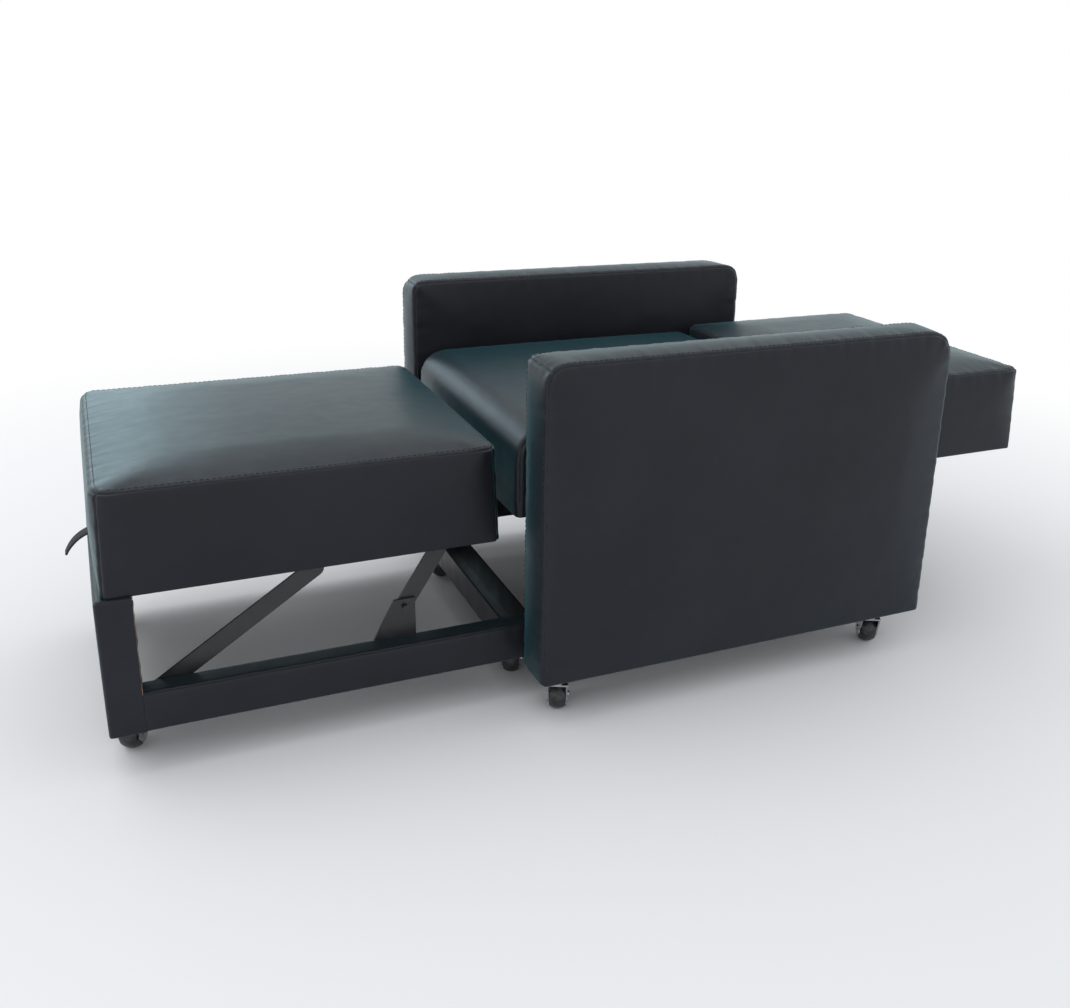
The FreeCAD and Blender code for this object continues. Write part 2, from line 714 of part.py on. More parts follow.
def make_uprights():
    y0 = RAIL_END
    y1 = y0 + UPRIGHT_WIDTH
    post = box(UPRIGHT_IN, UPRIGHT_OUT, y0, y1, RAIL_BOTTOM, PIVOT_Z)
    eye = rod_x(UPRIGHT_WIDTH / 2, UPRIGHT_IN, UPRIGHT_OUT, PIVOT_Y, PIVOT_Z)
    flange = box(RAIL_IN, UPRIGHT_OUT, y0, y0 + FLAT_THICK, RAIL_BOTTOM, RAIL_TOP)
    upright = post.fuse(eye).fuse(flange).removeSplitter()
    upright = upright.cut(rod_x(PIVOT_R + RUN_FIT, 0, BAY, PIVOT_Y, PIVOT_Z))
    keep("pivot_uprights", *both(upright))
    shank = rod_x(PIVOT_R, UPRIGHT_IN - SIDE_GAP / 2, BRACKET_OUT + SEAT_GAP, PIVOT_Y, PIVOT_Z)
    head = rod_x(PIVOT_R + 3, BRACKET_OUT + SEAT_GAP, BRACKET_OUT + SEAT_GAP + 2, PIVOT_Y, PIVOT_Z)
    keep("pivot_pins", *both(shank.fuse(head).removeSplitter()))


def make_front_section():
    board = cushion("front_cushion", FRONT_Y, FRONT_REAR_Y, FRONT_BOTTOM, FRONT_TOP, CUSHION_EDGE_R)
    keep("front_cushion_board", board)

    root_y = FRONT_Y + BOARD_INSET - SEAT_GAP
    high = STRAP_Z + STRAP_THICK
    bend_y = FASCIA_Y - 2.0
    tip_z = STRAP_Z - STRAP_DROP
    mid = Vector(0, bend_y - STRAP_REACH * 0.62, STRAP_Z - STRAP_DROP * 0.30)
    over = Vector(0, mid.y - STRAP_THICK * 0.5, mid.z + STRAP_THICK * 0.9)
    low_bend = Vector(0, bend_y, STRAP_Z)
    high_bend = Vector(0, bend_y, high)
    tip = Vector(0, STRAP_TIP_Y + STRAP_THICK, tip_z)
    outer_tip = Vector(0, STRAP_TIP_Y, tip_z + STRAP_THICK * 0.4)
    outline = Part.Wire([
        Part.makeLine(Vector(0, root_y, high), high_bend),
        Part.Arc(high_bend, over, outer_tip).toShape(),
        Part.makeLine(outer_tip, tip),
        Part.Arc(tip, mid, low_bend).toShape(),
        Part.makeLine(low_bend, Vector(0, root_y, STRAP_Z)),
        Part.makeLine(Vector(0, root_y, STRAP_Z), Vector(0, root_y, high)),
    ])
    strap = Part.Face(outline).extrude(Vector(STRAP_WIDTH, 0, 0))
    strap.translate(Vector(-STRAP_WIDTH / 2, 0, 0))
    keep("pull_strap", strap)


# Middle section, which rises as the chair's back, and the head section behind it

def lug(y0, y1):
    low = BACK_BOARD_Z - LEAF_THICK
    return box(HALF - LUG_INSET, BAY - END_GAP, y0, y1, low, BACK_BOARD_Z)


def make_back_section():
    board = cushion("back_cushion", 0.0, BACK_LENGTH, BACK_BOTTOM, BACK_TOP, WATERFALL_R)
    keep("back_cushion_board", board)
    low = BACK_BOARD_Z - BRACKET_THICK
    foot_end = BRACKET_FOOT_Y + BRACKET_FOOT
    foot = box(HALF - LUG_INSET, BRACKET_OUT, BRACKET_FOOT_Y, foot_end, low, BACK_BOARD_Z)
    half = UPRIGHT_WIDTH / 2
    arm = plate_x([
        (PIVOT_Y - half, PIVOT_Z),
        (BRACKET_FOOT_Y, low),
        (foot_end, low),
        (PIVOT_Y + half, PIVOT_Z),
    ], BRACKET_IN, BRACKET_OUT)
    eye = rod_x(half, BRACKET_IN, BRACKET_OUT, PIVOT_Y, PIVOT_Z)
    bracket = foot.fuse(arm).fuse(eye).removeSplitter()
    bracket = bracket.cut(rod_x(PIVOT_R + RUN_FIT, 0, BAY, PIVOT_Y, PIVOT_Z))
    keep("back_brackets", *both(bracket))
    lug_y1 = BACK_LENGTH - HEAD_GAP
    keep("back_lugs", *both(lug(lug_y1 - LUG_WIDTH, lug_y1)))


def hinge_leaf(x, side, knuckles):
    low = BACK_BOARD_Z - LEAF_THICK
    edge = HINGE_Y + side * HINGE_LEAF
    start = HINGE_Y + side * (HINGE_R + SEAT_GAP)
    half = HINGE_KNUCKLE * 1.5
    leaf = box(x - half, x + half, min(start, edge), max(start, edge), low, BACK_BOARD_Z)
    for x0, x1 in knuckles:
        barrel = rod_x(HINGE_R, x0, x1, HINGE_Y, HINGE_Z)
        tongue = box(x0, x1, min(HINGE_Y, start), max(HINGE_Y, start), low, BACK_BOARD_Z)
        leaf = leaf.fuse(barrel).fuse(tongue)
    leaf = leaf.removeSplitter()
    return leaf.cut(rod_x(HINGE_PIN_R + RUN_FIT, x - 2 * half, x + 2 * half, HINGE_Y, HINGE_Z))


def make_hinges():
    back_leaves = []
    head_leaves = []
    pins = []
    third = HINGE_KNUCKLE / 2
    for x in (-HINGE_X, HINGE_X):
        outer = [(x - 3 * third, x - third - SEAT_GAP), (x + third + SEAT_GAP, x + 3 * third)]
        back_leaves.append(hinge_leaf(x, -1, outer))
        head_leaves.append(hinge_leaf(x, 1, [(x - third, x + third)]))
        pins.append(rod_x(HINGE_PIN_R, x - 3 * third, x + 3 * third, HINGE_Y, HINGE_Z))
    keep("hinge_leaves_back", *back_leaves)
    keep("hinge_leaves_head", *head_leaves)
    keep("hinge_pins", *pins)


def make_head_section():
    board = cushion("head_cushion", HEAD_Y, HEAD_END, BACK_BOTTOM, HEAD_TOP, CUSHION_EDGE_R)
    keep("head_cushion_board", board)
    lug_y0 = HEAD_Y + HEAD_GAP
    keep("head_lugs", *both(lug(lug_y0, lug_y0 + LUG_WIDTH)))


def main():
    make_arms()
    make_base()
    make_trolley_frame()
    make_braces()
    make_uprights()
    make_front_section()
    make_back_section()
    make_hinges()
    make_head_section()
    make_casters("arm", arm_caster_places(), ARM_CASTER_HEIGHT)
    make_casters("trolley", trolley_caster_places(), TROLLEY_CASTER_HEIGHT)
    os.makedirs("parts", exist_ok=True)
    for name, shape in pieces.items():
        shape.exportStep(f"parts/{name}.step")


main()
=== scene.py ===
import json
import math
import random

import bmesh
import bpy
import numpy as np
from bpy.props import FloatProperty, FloatVectorProperty, IntProperty, PointerProperty
from mathutils import Matrix, Vector
from mathutils.bvhtree import BVHTree
from mathutils.kdtree import KDTree


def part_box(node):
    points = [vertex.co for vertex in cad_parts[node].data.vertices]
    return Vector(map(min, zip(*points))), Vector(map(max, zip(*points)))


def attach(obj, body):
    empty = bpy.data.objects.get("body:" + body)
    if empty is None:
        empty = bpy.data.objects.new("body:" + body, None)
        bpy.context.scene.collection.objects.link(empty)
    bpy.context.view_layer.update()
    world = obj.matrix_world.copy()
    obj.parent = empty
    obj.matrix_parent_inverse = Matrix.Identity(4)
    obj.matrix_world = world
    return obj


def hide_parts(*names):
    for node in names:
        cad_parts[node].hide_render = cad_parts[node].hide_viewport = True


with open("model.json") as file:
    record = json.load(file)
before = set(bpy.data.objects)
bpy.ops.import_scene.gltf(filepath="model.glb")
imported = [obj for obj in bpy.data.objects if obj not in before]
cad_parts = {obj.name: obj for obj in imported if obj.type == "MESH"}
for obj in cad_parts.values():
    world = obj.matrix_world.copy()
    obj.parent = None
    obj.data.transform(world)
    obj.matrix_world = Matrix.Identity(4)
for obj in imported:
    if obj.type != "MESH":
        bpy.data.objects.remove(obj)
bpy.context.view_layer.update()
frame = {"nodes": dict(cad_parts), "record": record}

bl_info = {
    "name": "Chair Bed Upholstery",
    "version": (1, 0, 0),
    "blender": (4, 5, 0),
    "location": "3D View > Sidebar > Chair Bed",
    "description": "Covers, seams, steel and casters of a pull-out chair bed",
    "category": "Add Mesh",
}

SIDES = (-1, 1)

# How a cover sits on the pieces that it hides, in metres
PROUD = 0.0006
BOARD_CLEAR = 0.0003
UNDERSIDE_DEPTH = 0.004
OUTLINE_START = 0.02

# Steps around the roll between two faces of a padded slab
ROLL_STEPS = 4

# A seam's groove and the gathers beside it, in metres
SEAM_SAMPLE = 0.0025
SEAM_REACH = 0.06
GROOVE_WIDTH = 0.0022
GATHER_WAVES = (0.019, 0.031, 0.053)
GATHER_FALL = 0.016
GATHER_CLEAR = 0.003
# Reach of the seam mark, which the leatherette turns into rubbing with a painted highlight beside the
# seam and painted shade in its groove
RUB_AND_HIGHLIGHT_WIDTH = 0.004

# Seeds of the gathers and stitches, by piece
SEEDS = {"arm": 11, "arm_stitches": 5, "front_cushion": 31, "head_cushion": 47, "back_cushion": 59,
         "fascia": 71, "rear_panel": 73, "rails": 80}

# The cloth of a cover while it is blown up
CLOTH = {"quality": 4, "mass": 0.3, "tension_stiffness": 25, "compression_stiffness": 25,
         "shear_stiffness": 10, "bending_stiffness": 2, "use_pressure": True,
         "uniform_pressure_force": 4}

# One stitch: its start and share of the pitch, and its (share of length, share of radius) rings
STITCH_START = 0.14
STITCH_SHARE = 0.70
STITCH_SPREAD = 0.04
STITCH_SINK = 0.35
STITCH_SIDES = 6
STITCH_RINGS = ((0.0, 0.0), (0.12, 0.75), (0.5, 1.0), (0.88, 0.75), (1.0, 0.0))

# The strap's section as (share of half width, share of thickness)
STRAP_THICK = 0.0028
STRAP_SECTION = ((-1.0, 0.0), (-0.94, 0.5), (-0.5, 0.62), (0.0, 0.5), (0.5, 0.62), (0.94, 0.5),
                 (1.0, 0.0), (0.94, -0.5), (0.5, -0.62), (0.0, -0.5), (-0.5, -0.62), (-0.94, -0.5))

# A wheel cap's closed section as (radius, height over the wheel's sunk face), in metres
CAP_SIDES = 40
CAP_SINK = 0.0018
CAP_SECTION = ((0.0045, 0.0002), (0.0060, 0.0012), (0.0095, 0.0016), (0.0130, 0.0010),
               (0.0150, 0.0002), (0.0152, -0.0012), (0.0045, -0.0012))


# Settings that a user would change

class ChairBedSizes(bpy.types.PropertyGroup):
    grid: FloatProperty(
        name="Cover grid", description="Spacing of the mesh on the covers",
        default=0.011, unit="LENGTH")
    crown: FloatProperty(
        name="Cushion crown", description="How far the top of a cushion swells",
        default=0.008, unit="LENGTH")
    arm_swell: FloatProperty(
        name="Arm swell", description="How far an arm's sides swell",
        default=0.003, unit="LENGTH")
    seam_depth: FloatProperty(
        name="Seam depth", description="Depth of the groove along a seam",
        default=0.0020, unit="LENGTH")
    pucker: FloatProperty(
        name="Pucker", description="Height of the small gathers beside a seam",
        default=0.0010, unit="LENGTH")
    stitch_pitch: FloatProperty(
        name="Stitch pitch", description="Length of one stitch with its gap",
        default=0.008, unit="LENGTH")
    stitch_offset: FloatProperty(
        name="Stitch offset", description="Distance of the stitch row from its seam",
        default=0.0065, unit="LENGTH")
    thread: FloatProperty(
        name="Thread radius", description="Radius of the sewing thread",
        default=0.00055, unit="LENGTH")
    cover_thick: FloatProperty(
        name="Cover thickness", description="Gap from a cover's face to the foam under it",
        default=0.0035, unit="LENGTH")
    cloth_frames: IntProperty(
        name="Cloth frames", description="Frames of the cushion inflation",
        default=20, min=2)
    cloth_cap: FloatProperty(
        name="Cloth cap", description="Most that the inflation may move a point",
        default=0.008, unit="LENGTH")


class ChairBedColours(bpy.types.PropertyGroup):
    leatherette: FloatVectorProperty(
        name="Leatherette", description="Colour of the black leatherette",
        default=(0.0105, 0.0100, 0.0130), subtype="COLOR", size=3)
    # The rubbed colour, also used beside the seams as a painted highlight on the gathers
    leatherette_rubbed_and_highlit: FloatVectorProperty(
        name="Leatherette, rubbed", description="Colour where the leatherette is rubbed",
        default=(0.022, 0.025, 0.030), subtype="COLOR", size=3)
    thread: FloatVectorProperty(
        name="Thread", description="Colour of the sewing thread",
        default=(0.006, 0.007, 0.009), subtype="COLOR", size=3)
    black_paint: FloatVectorProperty(
        name="Black paint", description="Colour of the painted steel",
        default=(0.010, 0.010, 0.012), subtype="COLOR", size=3)
    plywood: FloatVectorProperty(
        name="Plywood", description="Colour of the boards",
        default=(0.30, 0.18, 0.09), subtype="COLOR", size=3)
    floor: FloatVectorProperty(
        name="Floor", description="Colour of the pale floor",
        default=(0.86, 0.86, 0.87), subtype="COLOR", size=3)


# Shader maths written as expressions

class Value:
    """A socket's value, on which plain arithmetic adds Math nodes."""

    def __init__(self, nodes, socket):
        self.nodes = nodes
        self.socket = socket

    def maths(self, operation, first, second):
        return self.nodes.node("ShaderNodeMath", {"operation": operation}, {0: first, 1: second})

    def __add__(self, other):
        return self.maths("ADD", self, other)

    def __radd__(self, other):
        return self.maths("ADD", other, self)

    def __sub__(self, other):
        return self.maths("SUBTRACT", self, other)

    def __rsub__(self, other):
        return self.maths("SUBTRACT", other, self)

    def __mul__(self, other):
        return self.maths("MULTIPLY", self, other)

    def __rmul__(self, other):
        return self.maths("MULTIPLY", other, self)


class Nodes:
    """One node tree, of a material or of the world."""

    def __init__(self, tree):
        self.tree = tree
        tree.nodes.clear()

    def node(self, kind, settings, inputs, output=0):
        made = self.tree.nodes.new(kind)
        for key, value in settings.items():
            if key == "stops":
                set_stops(made.color_ramp, value)
            else:
                setattr(made, key, value)
        for key, value in inputs.items():
            if isinstance(value, Value):
                self.tree.links.new(value.socket, made.inputs[key])
            else:
                made.inputs[key].default_value = value
        if not made.outputs:
            return None
        return Value(self, made.outputs[output])

    def maths_max(self, first, second):
        return self.node("ShaderNodeMath", {"operation": "MAXIMUM"}, {0: first, 1: second})

    def sees_background(self):
        """1 for camera, glossy and transmission rays, which meet a plain white background."""
        camera = self.node("ShaderNodeLightPath", {}, {}, "Is Camera Ray")
        outputs = camera.socket.node.outputs
        glossy = Value(self, outputs["Is Glossy Ray"])
        through = Value(self, outputs["Is Transmission Ray"])
        return self.maths_max(self.maths_max(camera, glossy), through)


class Shader(Nodes):
    """A material with one Principled shader, whose constants stand on its sockets."""

    def __init__(self, name, **constants):
        self.material = bpy.data.materials.new(name)
        self.material.use_nodes = True
        super().__init__(self.material.node_tree)
        surface = self.node("ShaderNodeBsdfPrincipled", {}, constants_to_inputs(constants))
        self.principled = surface.socket.node
        self.node("ShaderNodeOutputMaterial", {}, {"Surface": surface})

    def feed(self, name, value):
        self.tree.links.new(value.socket, self.principled.inputs[name])

    def place(self):
        return self.node("ShaderNodeTexCoord", {}, {}, "Object")

    def noise(self, scale, detail=3.0, roughness=0.55, stretch=(1, 1, 1)):
        spot = self.node("ShaderNodeMapping", {}, {"Vector": self.place(), "Scale": stretch})
        inputs = {"Vector": spot, "Scale": scale, "Detail": detail, "Roughness": roughness}
        return self.node("ShaderNodeTexNoise", {}, inputs)

    def cells(self, scale):
        settings = {"feature": "DISTANCE_TO_EDGE"}
        return self.node("ShaderNodeTexVoronoi", settings, {"Vector": self.place(), "Scale": scale})

    def ramp(self, value, low, high):
        settings = {"stops": [(low, (0, 0, 0, 1)), (high, (1, 1, 1, 1))]}
        return self.node("ShaderNodeValToRGB", settings, {"Fac": value})

    def attribute(self, name):
        return self.node("ShaderNodeAttribute", {"attribute_name": name}, {}, "Fac")

    def blend(self, factor, first, second):
        inputs = {0: factor, 6: solid_colour(first), 7: solid_colour(second)}
        return self.node("ShaderNodeMix", {"data_type": "RGBA"}, inputs, 2)

    def bump(self, height, strength, distance):
        inputs = {"Height": height, "Strength": strength, "Distance": distance}
        return self.node("ShaderNodeBump", {}, inputs)


def constants_to_inputs(constants):
    return {name.replace("_", " ").title().replace("Ior", "IOR"): value
            for name, value in constants.items()}


def solid_colour(colour):
    return colour if isinstance(colour, Value) else (*colour, 1.0)


def set_stops(ramp, stops):
    while len(ramp.elements) > 1:
        ramp.elements.remove(ramp.elements[-1])
    ramp.elements[0].position, ramp.elements[0].color = stops[0]
    for position, colour in stops[1:]:
        ramp.elements.new(position).color = colour


# Finishes

def leatherette(colours):
    shader = Shader("black_leatherette", ior=1.34, specular_tint=(0.86, 0.88, 1.0, 1.0),
                    sheen_weight=0.15, sheen_roughness=0.38, sheen_tint=(0.10, 0.85, 1.0, 1.0))
    seam = shader.attribute("seam")
    mottle = shader.ramp(shader.noise(5.0, detail=4.0), 0.35, 0.70)
    rub = shader.ramp(shader.noise(38.0, detail=5.0, roughness=0.6), 0.52, 0.78)
    # Lighter in random rubbed patches, and beside each seam a painted highlight on the gathers
    rubbed_and_highlit = mottle * 0.30 + rub * 0.12 + seam * 0.35
    hide = shader.blend(rubbed_and_highlit, colours.leatherette, colours.leatherette_rubbed_and_highlit)
    # Thread colour at each seam's core, which also paints the shade of its groove
    thread_and_groove_shade = shader.ramp(seam, 0.72, 0.92)
    shader.feed("Base Color", shader.blend(thread_and_groove_shade * 0.85, hide, colours.thread))
    shader.feed("Roughness", 0.35 + mottle * 0.05 + rub * 0.05 + thread_and_groove_shade * 0.35)
    grain = shader.ramp(shader.cells(620.0), 0.0, 0.25)
    ripple = shader.noise(16.0, detail=2.0, roughness=0.45)
    pores = shader.noise(900.0, detail=2.0)
    soft = shader.bump(ripple, strength=0.35, distance=0.004)
    fine = grain * 0.7 + pores * 0.3
    inputs = {"Height": fine, "Strength": 0.22, "Distance": 0.0004, "Normal": soft}
    shader.feed("Normal", shader.node("ShaderNodeBump", {}, inputs))
    return shader.material


def sewing_thread(colours):
    shader = Shader("sewing_thread", roughness=0.6)
    twist = shader.noise(1400.0, detail=1.0)
    lit = tuple(3.0 * channel for channel in colours.thread)
    shader.feed("Base Color", shader.blend(twist, colours.thread, lit))
    shader.feed("Normal", shader.bump(twist, strength=0.4, distance=0.0003))
    return shader.material


def painted_steel(colours):
    shader = Shader("black_painted_steel", ior=1.5, coat_weight=0.2, coat_roughness=0.25)
    patch = shader.ramp(shader.noise(24.0, detail=4.0), 0.40, 0.75)
    chips = shader.ramp(shader.noise(160.0, detail=4.0, roughness=0.7), 0.66, 0.74)
    greyed = tuple(3.2 * channel for channel in colours.black_paint)
    base = shader.blend(patch * 0.5, colours.black_paint, greyed)
    shader.feed("Base Color", shader.blend(chips * 0.5, base, (0.10, 0.09, 0.085)))
    shader.feed("Roughness", 0.36 + patch * 0.16)
    shader.feed("Metallic", chips * 0.5)
    shader.feed("Normal", shader.bump(shader.noise(420.0, detail=2.0), strength=0.18, distance=0.0004))
    return shader.material


def zinc_steel():
    shader = Shader("zinc_plated_steel", metallic=1.0)
    cloud = shader.noise(70.0, detail=3.0)
    shader.feed("Base Color", shader.blend(cloud, (0.32, 0.32, 0.33), (0.60, 0.60, 0.61)))
    shader.feed("Roughness", 0.24 + cloud * 0.18)
    shader.feed("Normal", shader.bump(shader.noise(600.0, detail=1.0), strength=0.12, distance=0.0002))
    return shader.material


def caster_chrome():
    shader = Shader("polished_chrome", metallic=1.0)
    dirt = shader.ramp(shader.noise(90.0, detail=4.0), 0.50, 0.80)
    shader.feed("Base Color", shader.blend(dirt * 0.5, (0.42, 0.43, 0.46), (0.22, 0.22, 0.24)))
    shader.feed("Roughness", 0.08 + dirt * 0.10)
    shader.feed("Normal", shader.bump(shader.noise(45.0, detail=1.0), strength=0.05, distance=0.0004))
    return shader.material


def caster_tread():
    shader = Shader("caster_tread", ior=1.48)
    dust = shader.ramp(shader.noise(130.0, detail=5.0), 0.42, 0.72)
    shader.feed("Base Color", shader.blend(dust, (0.012, 0.012, 0.014), (0.055, 0.054, 0.054)))
    shader.feed("Roughness", 0.34 + dust * 0.25)
    shader.feed("Normal", shader.bump(shader.noise(500.0, detail=2.0), strength=0.2, distance=0.0003))
    return shader.material


def plywood(colours):
    shader = Shader("bare_plywood")
    grain = shader.noise(30.0, detail=5.0, roughness=0.6, stretch=(9.0, 0.6, 9.0))
    ply = shader.node("ShaderNodeTexWave", {"bands_direction": "Z"},
                      {"Vector": shader.place(), "Scale": 130.0, "Distortion": 0.4})
    light = tuple(1.7 * channel for channel in colours.plywood)
    board = shader.blend(grain, colours.plywood, light)
    shader.feed("Base Color", shader.blend(ply * 0.35, board, (0.14, 0.08, 0.04)))
    shader.feed("Roughness", 0.55 + grain * 0.2)
    shader.feed("Normal", shader.bump(grain, strength=0.2, distance=0.0006))
    return shader.material


def sawn_timber():
    shader = Shader("sawn_timber")
    grain = shader.noise(22.0, detail=5.0, roughness=0.6, stretch=(10.0, 1.0, 1.0))
    shader.feed("Base Color", shader.blend(grain, (0.30, 0.19, 0.10), (0.62, 0.45, 0.26)))
    shader.feed("Roughness", 0.65 + grain * 0.2)
    shader.feed("Normal", shader.bump(grain, strength=0.3, distance=0.0008))
    return shader.material


def cut_foam():
    shader = Shader("cut_foam", roughness=0.95)
    pores = shader.cells(420.0)
    shader.feed("Base Color", shader.blend(pores * 3.0, (0.50, 0.44, 0.30), (0.78, 0.72, 0.55)))
    shader.feed("Normal", shader.bump(pores, strength=0.5, distance=0.001))
    return shader.material


def strap_webbing():
    shader = Shader("woven_webbing", ior=1.4)
    rib = shader.node("ShaderNodeTexWave", {"bands_direction": "X"},
                      {"Vector": shader.place(), "Scale": 260.0, "Distortion": 0.3})
    weave = shader.noise(700.0, detail=2.0)
    lit = rib * 0.6 + weave * 0.4
    shader.feed("Base Color", shader.blend(lit, (0.006, 0.006, 0.008), (0.035, 0.038, 0.045)))
    shader.feed("Roughness", 0.55 + weave * 0.25)
    shader.feed("Normal", shader.bump(rib * 0.7 + weave * 0.3, strength=0.5, distance=0.0005))
    return shader.material


def pale_floor(colours):
    """A matt floor near the object, which turns into plain white away from it."""
    shader = Shader("pale_floor", roughness=0.95, specular_ior_level=0.0)
    speck = shader.noise(3.0, detail=2.0)
    shader.feed("Base Color", shader.blend(speck * 0.1, colours.floor, (0.90, 0.90, 0.91)))
    away = shader.node("ShaderNodeVectorMath", {"operation": "LENGTH"}, {0: shader.place()}, 1)
    far = shader.node("ShaderNodeMapRange", {"interpolation_type": "SMOOTHSTEP"},
                      {"Value": away, "From Min": 1.1, "From Max": 2.3})
    white = shader.node("ShaderNodeEmission", {}, {"Color": (1, 1, 1, 1), "Strength": 1.0})
    output = next(node for node in shader.tree.nodes if node.type == "OUTPUT_MATERIAL")
    matt = Value(shader, shader.principled.outputs[0])
    mixed = shader.node("ShaderNodeMixShader", {},
                        {0: far * shader.sees_background(), 1: matt, 2: white})
    shader.tree.links.new(mixed.socket, output.inputs["Surface"])
    return shader.material


# The materials by name, filled by the first two operators
FINISHES = {}


def dress(built, finish):
    built.data.materials.clear()
    built.data.materials.append(FINISHES[finish])


# Mesh lattice of a padded slab: the thin axis comes first, the outline's two axes after it

def stations(low, high, edge, fine, step):
    """Grid lines along one axis: fine over both rolled edges, even between them."""
    near = np.linspace(0.0, edge, fine + 1)
    count = max(2, round((high - low - 2 * edge) / step))
    middle = np.linspace(low + edge, high - edge, count + 1)
    return np.concatenate([low + near[:-1], middle, (high - near[::-1])[1:]])


def lattice(low, high, edge, fine, step):
    """A box's skin as points and quads, with the vertex number at each place of the grid."""
    lines = [stations(low[n], high[n], edge, fine, step) for n in range(3)]
    shape = tuple(len(line) for line in lines)
    grid = np.stack(np.meshgrid(*lines, indexing="ij"), -1)
    rim = np.zeros(shape, bool)
    for axis in range(3):
        side = [slice(None)] * 3
        for end in (0, -1):
            side[axis] = end
            rim[tuple(side)] = True
            side[axis] = slice(None)
    index = np.full(shape, -1)
    index[rim] = np.arange(rim.sum())
    faces = []
    for axis in range(3):
        for end in (0, -1):
            sheet = np.take(index, end, axis)
            quads = np.stack([sheet[:-1, :-1], sheet[1:, :-1], sheet[1:, 1:], sheet[:-1, 1:]], -1)
            quads = quads.reshape(-1, 4)
            flip = (end == 0) != (axis == 1)
            faces.append(quads[:, ::-1] if flip else quads)
    return grid[rim], np.concatenate(faces), index


def roll_edges(points, low, high, edge):
    """Rounds the rims between the two faces across the thin axis and the border around them."""
    points = points.copy()
    middle = (low + high) / 2
    sign = np.where(points > middle, 1.0, -1.0)
    border = np.where(sign > 0, high, low)
    depth = np.abs(border - points)
    on_panel = depth[:, 0] < 1e-9
    inset = np.minimum(depth[:, 1], depth[:, 2])
    across = np.maximum(edge - depth[:, 0], 0)
    inward = np.maximum(edge - inset, 0)
    length = np.maximum(np.hypot(across, inward), 1e-12)
    new = depth.copy()
    new[:, 0] = np.where(across > 0, edge - edge * across / length, depth[:, 0])
    ring = np.where(inward > 0, edge - edge * inward / length, inset)
    for axis in (1, 2):
        gap = np.maximum(edge - depth[:, axis], 0)
        curved = edge - edge * gap / np.hypot(edge, gap)
        own = np.where(on_panel & (gap > 0), curved, depth[:, axis])
        new[:, axis] = np.maximum(own, np.where(inward > 0, ring, 0))
    return border - sign * new


def round_corners(points, low, high, radii):
    """Rounds the outline's corners. A radius is one number, or one for each end of the thin axis."""
    points = points.copy()
    across = np.clip((points[:, 0] - low[0]) / (high[0] - low[0]), 0, 1)
    for (sign_b, sign_c), radius in radii.items():
        near, far = radius if isinstance(radius, tuple) else (radius, radius)
        reach = near + (far - near) * across
        centre_b = (high[1] - reach) if sign_b > 0 else (low[1] + reach)
        centre_c = (high[2] - reach) if sign_c > 0 else (low[2] + reach)
        away_b = (points[:, 1] - centre_b) * sign_b
        away_c = (points[:, 2] - centre_c) * sign_c
        inside = (away_b > 0) & (away_c > 0)
        share = np.maximum(away_b, away_c) / np.maximum(np.hypot(away_b, away_c), 1e-12)
        points[inside, 1] = (centre_b + sign_b * away_b * share)[inside]
        points[inside, 2] = (centre_c + sign_c * away_c * share)[inside]
    return points


def swell(points, low, high, amounts):
    """Moves each face of the slab outward by its own amount, most at its middle."""
    points = points.copy()
    middle = (low + high) / 2
    half = (high - low) / 2
    place = np.clip((points - middle) / half, -1, 1)
    moved = points.copy()
    for (axis, sign), amount in amounts.items():
        near = np.clip(sign * place[:, axis], 0, 1) ** 5
        others = [n for n in range(3) if n != axis]
        dome = np.prod([(1 - place[:, n] ** 2) ** 0.55 for n in others], axis=0)
        moved[:, axis] += sign * amount * near * dome
    return moved


def mesh_object(name, points, faces, smooth=True):
    mesh = bpy.data.meshes.new(name)
    mesh.from_pydata([tuple(p) for p in points], [], [tuple(int(n) for n in f) for f in faces])
    mesh.update()
    built = bpy.data.objects.new(name, mesh)
    bpy.context.scene.collection.objects.link(built)
    if smooth:
        mesh.polygons.foreach_set("use_smooth", np.ones(len(mesh.polygons), bool))
    return built


def ring_faces(base, rings, around, closed=False):
    """Quads between rings of points that follow each other from the vertex base on."""
    faces = []
    for ring in range(rings if closed else rings - 1):
        near = base + ring * around
        far = base + (ring + 1) % rings * around
        for n in range(around):
            after = (n + 1) % around
            faces.append((near + n, near + after, far + after, far + n))
    return faces


def tube_faces(base, rings, around):
    last = base + (rings - 1) * around
    return ring_faces(base, rings, around) + [tuple(base + n for n in reversed(range(around))),
                                              tuple(last + n for n in range(around))]


def edge_lines(index):
    """The slab's twelve lattice edges: two outlines and four corner lines, as vertex numbers."""
    def outline(end):
        sheet = index[end]
        return np.concatenate([sheet[:-1, 0], sheet[-1, :-1], sheet[:0:-1, -1], sheet[0, :0:-1]])

    corners = {(sb, sc): index[:, 0 if sb < 0 else -1, 0 if sc < 0 else -1]
               for sb in SIDES for sc in SIDES}
    return {"low": outline(0), "high": outline(-1)}, corners


def coordinates(built):
    points = np.empty(len(built.data.vertices) * 3)
    built.data.vertices.foreach_get("co", points)
    return points.reshape(-1, 3)


def set_coordinates(built, points):
    built.data.vertices.foreach_set("co", np.ascontiguousarray(points).ravel())
    built.data.update()


def normals(built):
    found = np.empty(len(built.data.vertices) * 3)
    built.data.vertices.foreach_get("normal", found)
    return found.reshape(-1, 3)


